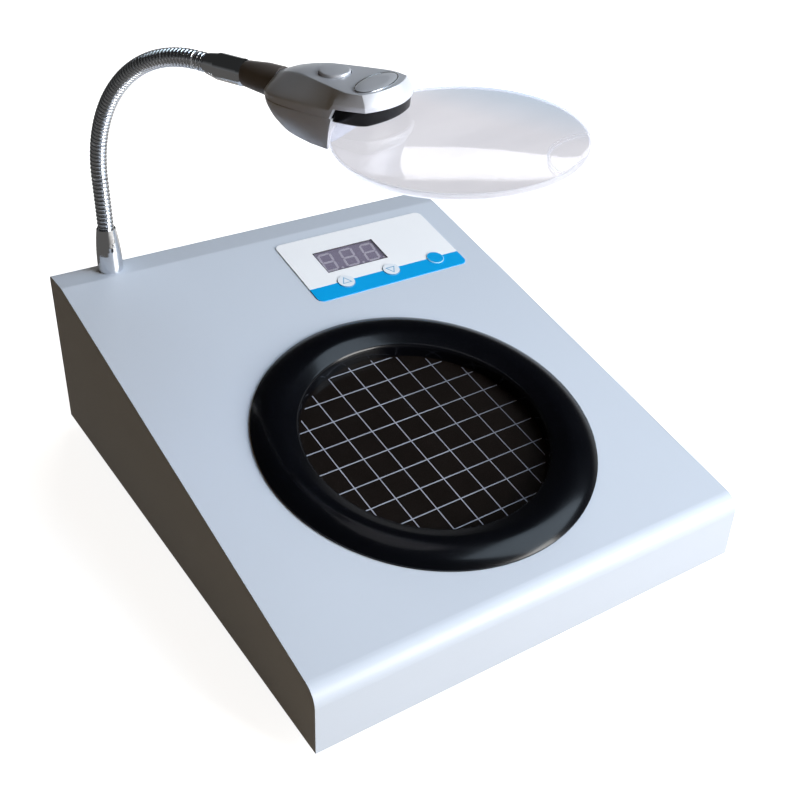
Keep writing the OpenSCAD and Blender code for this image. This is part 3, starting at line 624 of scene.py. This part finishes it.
def upperPoint(u, v, w):
    pu, pv = roundPlan(u, v, *head["round"])
    rise = (w + 1) / 2
    ease = max(0.0, (rise - head["shoulder"]) / (1 - head["shoulder"])) ** head["lean"]
    x = head["rear"] + (pu + 1) / 2 * (head["nose"] - head["rear"])
    half = follow(head["half"], x)
    width = half + (follow(head["plateau"], x) - half) * ease
    y = pv * width
    front = max(0.0, u) ** 2
    x -= (noseBack(y) - head["skew"] * y) * front + head["noseLean"] * ease * front
    low = head["lip"] if x > head["jaw"] else head["seam"]
    crown = head["crown"] * (1 - pv * pv)
    z = low + (follow(head["top"], x) + crown * ease - low) * rise
    return x, y, z


def lowerPoint(u, v, w):
    pu, pv = roundPlan(u, v, *head["roundLow"])
    drop = (1 - w) / 2
    ease = drop ** head["bellyLean"]
    x = head["rear"] + (pu + 1) / 2 * (head["jaw"] - head["rear"])
    y = pv * (follow(head["half"], x) - follow(head["chin"], x) * ease)
    z = head["seam"] + (follow(head["belly"], x) - head["seam"]) * drop
    x += head["rearLean"] * ease * max(0.0, -u) - head["slant"] * drop * max(0.0, u) ** 2
    return x, y, z


def gasketPoint(u, v, w):
    pu, pv = roundPlan(u, v, *gasket["round"])
    x = gasket["back"] + (pu + 1) / 2 * (head["nose"] - gasket["inset"] - gasket["back"])
    y = pv * (follow(head["half"], x + gasket["ahead"]) - gasket["inset"])
    x -= (noseBack(y) - head["skew"] * y) * max(0.0, u) ** 2
    z = gasket["low"] + (w + 1) / 2 * (head["lip"] + gasket["over"] - gasket["low"])
    return x - gasket["lean"] * (1 - w) / 2 * max(0.0, u), y, z


def shapedBlock(shape, cuts):
    bpy.ops.object.select_all(action="DESELECT")
    bpy.ops.mesh.primitive_cube_add(size=2)
    piece = bpy.context.object
    bpy.ops.object.mode_set(mode="EDIT")
    bpy.ops.mesh.select_all(action="SELECT")
    bpy.ops.mesh.subdivide(number_cuts=cuts)
    bpy.ops.object.mode_set(mode="OBJECT")
    for vertex in piece.data.vertices:
        vertex.co = Vector(shape(*vertex.co)) * mm
    return piece


stem = {"start": 12.2, "sleeve": 27.05, "full": 38.0, "end": 45.5, "inner": 4.1, "thin": 5.0,
        "thick": 6.3, "flare": (0.3, 1)}
button = {"x": 72.0, "radius": 6.0, "gap": 0.4, "low": 6.1, "top": 10.7, "round": 0.6,
          "dome": (0.12, 0.15), "hole": 8, "holeRise": 4.1}


def roundEdges(piece, width, segments, angle):
    applyModifier(piece, "BEVEL", width=width * mm, segments=segments, limit_method="ANGLE",
                  angle_limit=math.radians(angle))


def makeUpper():
    upper = shapedBlock(upperPoint, head["cuts"])
    roundEdges(upper, head["edge"], 4, 28)
    bpy.ops.object.select_all(action="DESELECT")
    bpy.ops.mesh.primitive_cylinder_add(
        vertices=96,
        radius=(button["radius"] + button["gap"]) * mm,
        depth=button["hole"] * mm,
        location=(button["x"] * mm, 0, (button["low"] + button["holeRise"]) * mm),
    )
    cutter = bpy.context.object
    applyModifier(upper, "BOOLEAN", object=cutter, operation="DIFFERENCE", solver="EXACT")
    bpy.data.objects.remove(cutter)
    smooth(upper, 30)
    settle(upper, "headUpper", "head_silver", "head", headPlace)
    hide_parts("head_upper")


def makeLower():
    lower = shapedBlock(lowerPoint, head["cuts"])
    roundEdges(lower, head["edgeLow"], 4, 32)
    smooth(lower, 30)
    settle(lower, "headLower", "head_silver", "head", headPlace)
    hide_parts("head_lower")


def makeStem():
    flare, flareLong = stem["flare"]
    profile = [(axisGap, stem["start"]), (stem["inner"], stem["start"])]
    profile += [(stem["inner"], stem["sleeve"]), (stem["thin"], stem["sleeve"])]
    profile += [(stem["thin"] + flare, stem["sleeve"] + flareLong), (stem["thick"], stem["full"])]
    profile += [(stem["thick"], stem["end"]), (axisGap, stem["end"])]
    neck = lathe([(r * mm, x * mm) for r, x in profile], 96)
    neck.data.transform(Matrix.Rotation(math.radians(90), 4, "Y"))
    smooth(neck, 30)
    settle(neck, "headStem", "stem_grey", "head", headPlace)
    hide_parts("head_stem")


def makeSeal():
    seal = shapedBlock(gasketPoint, gasket["cuts"])
    roundEdges(seal, gasket["edge"], 3, 35)
    smooth(seal, 30)
    settle(seal, "headSeal", "ring_black", "head", headPlace)
    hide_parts("head_gasket")


def makeButton():
    b = button
    half, middle = b["dome"]  # rise of the pressed face, halfway in and in its middle
    profile = [(axisGap, b["low"]), (b["radius"], b["low"])]
    profile += arc((b["radius"] - b["round"], b["top"] - b["round"]), b["round"], 0, 90, 6)
    profile += [(b["radius"] * 0.5, b["top"] + half), (axisGap, b["top"] + middle)]
    piece = lathe([(r * mm, h * mm) for r, h in profile], 96)
    smooth(piece, 35)
    settle(piece, "lightButton", "head_silver", "light_button",
           headPlace @ Matrix.Translation((b["x"] * mm, 0, 0)))
    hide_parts("head_button")


# The plate's profile gives shares of the half size outwards and millimetres up
badge = {
    "x": 91.2, "half": (5.7, 11.2), "top": 9.82, "rim": 0.24, "rimFlat": 0.6, "tube": 0.02,
    "plate": [(axisGap, -0.6), (0.985, -0.6), (0.985, 0.0), (0.96, 0.10), (0.5, 0.16), (axisGap, 0.18)],
}


def makeBadge():
    b = badge
    wide, high = b["half"]
    place = headPlace @ Matrix.Translation((b["x"] * mm, 0, b["top"] * mm))
    bpy.ops.object.select_all(action="DESELECT")
    bpy.ops.mesh.primitive_torus_add(
        major_radius=1, minor_radius=b["tube"], major_segments=120, minor_segments=12
    )
    rim = bpy.context.object
    for vertex in rim.data.vertices:
        away = math.hypot(vertex.co.x, vertex.co.y)
        side = (away - 1) / b["tube"] * b["rim"]
        rise = vertex.co.z / b["tube"] * b["rim"] * b["rimFlat"]
        ux, uy = vertex.co.x / away, vertex.co.y / away
        vertex.co = Vector((ux * (wide + side), uy * (high + side), rise)) * mm
    smooth(rim, 60)
    settle(rim, "badgeRim", "neck_chrome", "head", place)

    plate = lathe(b["plate"], 120)
    for vertex in plate.data.vertices:
        vertex.co = Vector((vertex.co.x * wide, vertex.co.y * high, vertex.co.z)) * mm
    smooth(plate, 40)
    settle(plate, "badgePlate", "head_silver", "head", place)
    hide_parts("head_badge")


makeUpper()
makeLower()
makeStem()
makeSeal()
makeButton()
makeBadge()
print("head made")


# Lens
def makeLens():
    r, t, e, k = lens["radius"], lens["top"], lens["edge"], lens["round"]
    steps = lens["steps"]
    profile = [(axisGap, t), (r - k, t)]
    profile += arc((r - k, t - k), k, 80, 0, 4)
    profile += arc((r - k, t - e + k), k, 0, -80, 4)
    ball = (r**2 + lens["bulge"] ** 2) / (2 * lens["bulge"])
    for i in range(1, steps + 1):
        reach = (r - k) * (1 - i / steps)
        depth = lens["bulge"] - (ball - math.sqrt(ball**2 - reach**2))
        profile.append((max(axisGap, reach), t - e - depth))
    piece = lathe([(a * mm, b * mm) for a, b in profile], 200)

    part = lens["insert"]
    wide = part["radius"]
    rim = t + part["rise"] - part["sag"]
    small = [(axisGap, t - part["sunk"]), (wide, t - part["sunk"]), (wide, rim)]
    for i in range(1, steps // 2 + 1):
        reach = wide * (1 - i / (steps // 2))
        lift = part["sag"] * (1 - (reach / wide) ** 2)
        small.append((max(axisGap, reach), rim + lift))
    insert = lathe([(a * mm, b * mm) for a, b in small], 120)
    turn = math.radians(part["turn"])
    insert.data.transform(Matrix.Translation(
        (part["away"] * math.cos(turn) * mm, part["away"] * math.sin(turn) * mm, 0)
    ))
    bpy.ops.object.select_all(action="DESELECT")
    bpy.ops.mesh.primitive_cylinder_add(
        vertices=200, radius=(r - part["inset"]) * mm, depth=30 * mm, location=(0, 0, 0)
    )
    trim = bpy.context.object
    applyModifier(insert, "BOOLEAN", object=trim, operation="INTERSECT", solver="EXACT")
    bpy.data.objects.remove(trim)
    applyModifier(piece, "BOOLEAN", object=insert, operation="UNION", solver="EXACT")
    bpy.data.objects.remove(insert)
    piece.data.transform(Matrix.Translation((lens["centre"] * mm, 0, 0)))
    smooth(piece, 25)
    settle(piece, "lensPane", "lens_clear", "head", headPlace)
    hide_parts("lens")


makeLens()
print("lens made")

# Light and room
room = {
    "floor": 14.0,
    "key": {"place": (0.85, -1.35, 0.50), "aim": (0, -0.03, 0.05), "size": 0.9, "watts": 38,
            "colour": (1.0, 0.985, 0.955)},
    "top": {"place": (0.90, -0.60, 1.20), "aim": (0, 0, 0.05), "size": 1.0, "watts": 13,
            "colour": (0.70, 0.85, 1.0)},
    "back": {"place": (1.00, 1.50, 0.60), "aim": (0, 0, 0.05), "size": 0.9, "watts": 14,
             "colour": (1.0, 0.99, 0.97), "shine": False},
    "glow": 0.90,  # the floor's own glow near the part; it rises to 1 over glowSpan
    "glowSpan": (0.6, 1.8),
    "bounce": (0.24, 0.175, 0.12),  # the floor's colour for light that falls back on the part
    "sheet": (-0.16, 0.30),  # where the floor that gloss sees starts to brighten and is full
    "sheetLevel": (0.11, 0.95),
    "sheetColour": (1, 0.97, 0.94),
    "fill": (0.078, 0.052, 0.024),  # light of the world on dull surfaces
    "horizon": (0.95, 0.98, 1.0),
    "height": (0.02, 0.30),  # rise of a ray at which the bright horizon starts to fade and is gone
    "side": (-0.5, 0.5),  # a ray's way to the right at which the horizon is dim and is bright
    "sideLevel": (0.10, 1.0),
    "dark": 0.025,  # the least that gloss sees of the world
}


def addLamp(name, place, aim, size, watts, colour, shine=True):
    way = (Vector(aim) - Vector(place)).to_track_quat("-Z", "Y")
    bpy.ops.object.light_add(type="AREA", location=place, rotation=way.to_euler())
    lamp = bpy.context.object
    lamp.name = name
    lamp.data.size = size
    lamp.data.energy = watts
    lamp.data.color = colour
    lamp.visible_glossy = shine


class Room(Finish):
    def __init__(self, name):
        self.world = bpy.data.worlds.new(name)
        self.world.use_nodes = True
        self.tree = self.world.node_tree
        self.shader = self.tree.nodes["Background"]
        self.end = self.tree.nodes["World Output"]


def seenThrough(finish):
    path = finish.node("ShaderNodeLightPath")
    deep = Socket(finish, path.outputs["Transmission Depth"]).above(0.5)
    return deep.maths("MAXIMUM", deep, Socket(finish, path.outputs["Is Transmission Ray"]))


def makeFloor():
    bpy.ops.mesh.primitive_plane_add(size=room["floor"], location=(0, 0, -0.0002))
    floor = bpy.context.object
    floor.name = "floor"
    finish = Finish("floor_white")
    finish.set(base_color=(0.80, 0.80, 0.81), roughness=0.9)
    x, y = finish.split(finish.coords())[:2]
    far = finish.ramp(finish.reach(x, y), *room["glowSpan"], room["glow"], 1.0)
    glow = finish.node("ShaderNodeEmission", None, {"Color": (1, 1, 1), "Strength": far})
    seen = finish.node("ShaderNodeAddShader", None, {0: finish.shader.outputs[0], 1: glow.outputs[0]})
    dull = finish.node("ShaderNodeBsdfDiffuse", None, {"Color": room["bounce"]})
    path = finish.node("ShaderNodeLightPath")
    bright = finish.ramp(x, *room["sheet"], *room["sheetLevel"])
    shine = finish.node("ShaderNodeEmission", None, {"Color": room["sheetColour"], "Strength": bright})
    clear = finish.node("ShaderNodeEmission", None, {"Color": (1, 1, 1), "Strength": 1.0})
    glossy = finish.node(
        "ShaderNodeMixShader",
        None,
        {0: path.outputs["Is Glossy Ray"], 1: dull.outputs[0], 2: shine.outputs[0]},
    )
    through = finish.node(
        "ShaderNodeMixShader",
        None,
        {0: seenThrough(finish), 1: glossy.outputs[0], 2: clear.outputs[0]},
    )
    both = finish.node(
        "ShaderNodeMixShader",
        None,
        {0: path.outputs["Is Camera Ray"], 1: through.outputs[0], 2: seen.outputs[0]},
    )
    finish.tree.links.new(both.outputs[0], finish.end.inputs["Surface"])
    floor.data.materials.clear()
    floor.data.materials.append(finish.material)


def makeWorld():
    studio = Room("studio")
    bpy.context.scene.world = studio.world
    path = studio.node("ShaderNodeLightPath")
    way = studio.split(studio.node("ShaderNodeTexCoord").outputs["Generated"])
    rise = studio.ramp(way[2], *room["height"], 1.0, 0.0)
    side = studio.ramp(way[0], *room["side"], *room["sideLevel"])
    bright = rise * side + room["dark"]
    glossy = Socket(studio, path.outputs["Is Glossy Ray"])
    studio.feed(studio.shader.inputs["Color"], studio.mix(glossy, room["fill"], room["horizon"]))
    studio.feed(studio.shader.inputs["Strength"], glossy * (bright - 1.0) + 1.0)
    white = studio.node("ShaderNodeBackground", None, {"Color": (1, 1, 1), "Strength": 1.0})
    shown = seenThrough(studio)
    shown = shown.maths("MAXIMUM", shown, Socket(studio, path.outputs["Is Camera Ray"]))
    both = studio.node(
        "ShaderNodeMixShader",
        None,
        {0: shown, 1: studio.shader.outputs[0], 2: white.outputs[0]},
    )
    studio.tree.links.new(both.outputs[0], studio.end.inputs["Surface"])


def makeRoom():
    for name in ("key", "top", "back"):
        addLamp(name + "Lamp", **room[name])
    makeFloor()
    makeWorld()


makeRoom()
print("room made")
